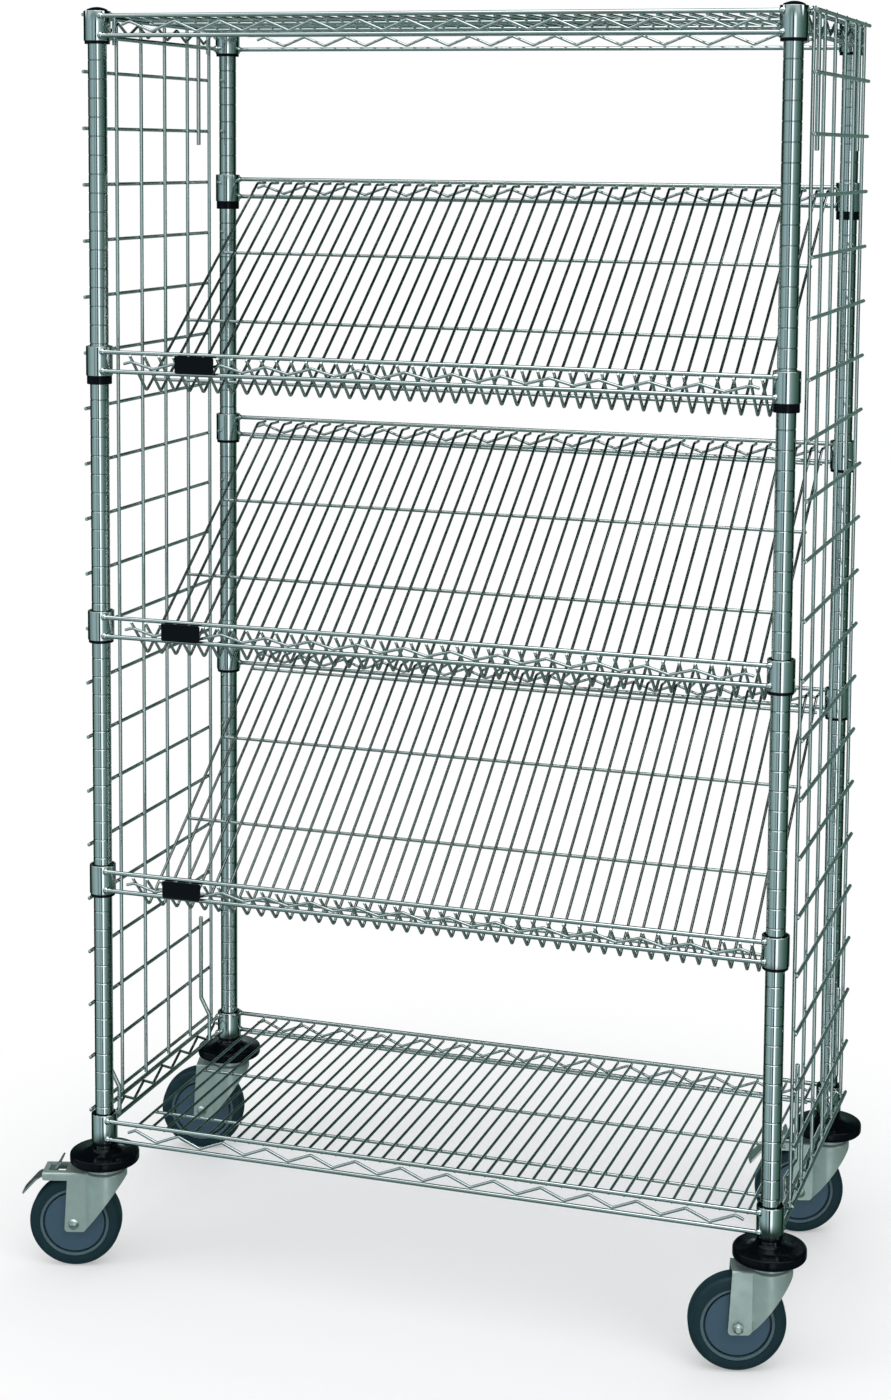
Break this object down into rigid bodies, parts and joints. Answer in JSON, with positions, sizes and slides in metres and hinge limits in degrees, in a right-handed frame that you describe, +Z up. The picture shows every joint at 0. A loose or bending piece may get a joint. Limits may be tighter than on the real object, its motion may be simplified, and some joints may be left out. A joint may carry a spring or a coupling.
{
  "type": "slanted shelf cart",
  "caption": "Rolling chromed wire cart with flat top and bottom shelves, forward-sloping shelves between, wire side panels and swivel casters.",
  "frame": {"origin": "on the floor at the centre of the rectangle of the four posts", "axes": "+Z up along the posts, +Y towards the back, +X to the right seen from the front"},
  "size_m": [1.1058, 0.52, 1.747],
  "materials": {
    "post_chrome": "polished",
    "collar_chrome": "polished",
    "wire_chrome": "polished",
    "zinc_steel": "zinc plated",
    "bolt_steel": "zinc plated",
    "black_plastic": "gloss",
    "label_plastic": "gloss",
    "tread_rubber": "smooth",
    "hub_plastic": "satin"
  },
  "bodies": {
    "cart": {"front_left_post": "post_chrome", "front_right_post": "post_chrome", "rear_left_post": "post_chrome", "rear_right_post": "post_chrome", "post_caps": "black_plastic", "bottom_shelf_collars": "collar_chrome", "bottom_shelf_rim_wires": "wire_chrome", "bottom_shelf_truss_wires": "wire_chrome", "bottom_shelf_deck_wires": "wire_chrome", "bottom_shelf_cross_wires": "wire_chrome", "top_shelf_collars": "collar_chrome", "top_shelf_rim_wires": "wire_chrome", "top_shelf_truss_wires": "wire_chrome", "top_shelf_deck_wires": "wire_chrome", "top_shelf_cross_wires": "wire_chrome", "lower_shelf_collars": "collar_chrome", "lower_shelf_rail_wires": "wire_chrome", "lower_shelf_truss_wires": "wire_chrome", "lower_shelf_deck_wires": "wire_chrome", "lower_shelf_cross_wires": "wire_chrome", "middle_shelf_collars": "collar_chrome", "middle_shelf_rail_wires": "wire_chrome", "middle_shelf_truss_wires": "wire_chrome", "middle_shelf_deck_wires": "wire_chrome", "middle_shelf_cross_wires": "wire_chrome", "upper_shelf_collars": "collar_chrome", "upper_shelf_rail_wires": "wire_chrome", "upper_shelf_truss_wires": "wire_chrome", "upper_shelf_deck_wires": "wire_chrome", "upper_shelf_cross_wires": "wire_chrome", "split_sleeves": "black_plastic", "label_holders": "label_plastic", "left_panel_upright_wires": "wire_chrome", "left_panel_level_wires": "wire_chrome", "left_panel_hooks": "wire_chrome", "right_panel_upright_wires": "wire_chrome", "right_panel_level_wires": "wire_chrome", "right_panel_hooks": "wire_chrome", "bumpers": "black_plastic", "caster_stems": "zinc_steel", "swivel_races": "zinc_steel"},
    "front_left_fork_body": {"front_left_fork": "zinc_steel", "front_left_axle": "bolt_steel"},
    "front_left_wheel_body": {"front_left_wheel_tread": "tread_rubber", "front_left_wheel_hub": "hub_plastic"},
    "front_left_pedal_body": {"front_left_brake_pedal": "zinc_steel"},
    "front_right_fork_body": {"front_right_fork": "zinc_steel", "front_right_axle": "bolt_steel"},
    "front_right_wheel_body": {"front_right_wheel_tread": "tread_rubber", "front_right_wheel_hub": "hub_plastic"},
    "rear_left_fork_body": {"rear_left_fork": "zinc_steel", "rear_left_axle": "bolt_steel"},
    "rear_left_wheel_body": {"rear_left_wheel_tread": "tread_rubber", "rear_left_wheel_hub": "hub_plastic"},
    "rear_right_fork_body": {"rear_right_fork": "zinc_steel", "rear_right_axle": "bolt_steel"},
    "rear_right_wheel_body": {"rear_right_wheel_tread": "tread_rubber", "rear_right_wheel_hub": "hub_plastic"},
    "rear_right_pedal_body": {"rear_right_brake_pedal": "zinc_steel"}
  },
  "joints": [
    {"name": "front_left_swivel", "type": "hinge", "parent": "cart", "child": "front_left_fork_body", "pos_m": [-0.4725, -0.212, 0.136], "axis": [0, 0, 1], "continuous": true},
    {"name": "front_left_wheel_spin", "type": "hinge", "parent": "front_left_fork_body", "child": "front_left_wheel_body", "pos_m": [-0.51129, -0.22364, 0.0635], "axis": [0.2874, -0.9578, 0], "continuous": true},
    {"name": "front_left_brake", "type": "hinge", "parent": "front_left_fork_body", "child": "front_left_pedal_body", "pos_m": [-0.54146, -0.23269, 0.131], "axis": [0.2874, -0.9578, 0], "range_deg": [0, 12]},
    {"name": "front_right_swivel", "type": "hinge", "parent": "cart", "child": "front_right_fork_body", "pos_m": [0.4725, -0.212, 0.136], "axis": [0, 0, 1], "continuous": true},
    {"name": "front_right_wheel_spin", "type": "hinge", "parent": "front_right_fork_body", "child": "front_right_wheel_body", "pos_m": [0.43371, -0.22364, 0.0635], "axis": [0.2874, -0.9578, 0], "continuous": true},
    {"name": "rear_left_swivel", "type": "hinge", "parent": "cart", "child": "rear_left_fork_body", "pos_m": [-0.4725, 0.212, 0.136], "axis": [0, 0, 1], "continuous": true},
    {"name": "rear_left_wheel_spin", "type": "hinge", "parent": "rear_left_fork_body", "child": "rear_left_wheel_body", "pos_m": [-0.51129, 0.20036, 0.0635], "axis": [0.2874, -0.9578, 0], "continuous": true},
    {"name": "rear_right_swivel", "type": "hinge", "parent": "cart", "child": "rear_right_fork_body", "pos_m": [0.4725, 0.212, 0.136], "axis": [0, 0, 1], "continuous": true},
    {"name": "rear_right_wheel_spin", "type": "hinge", "parent": "rear_right_fork_body", "child": "rear_right_wheel_body", "pos_m": [0.43371, 0.20036, 0.0635], "axis": [0.2874, -0.9578, 0], "continuous": true},
    {"name": "rear_right_brake", "type": "hinge", "parent": "rear_right_fork_body", "child": "rear_right_pedal_body", "pos_m": [0.40354, 0.19131, 0.131], "axis": [0.2874, -0.9578, 0], "range_deg": [0, 12]}
  ]
}
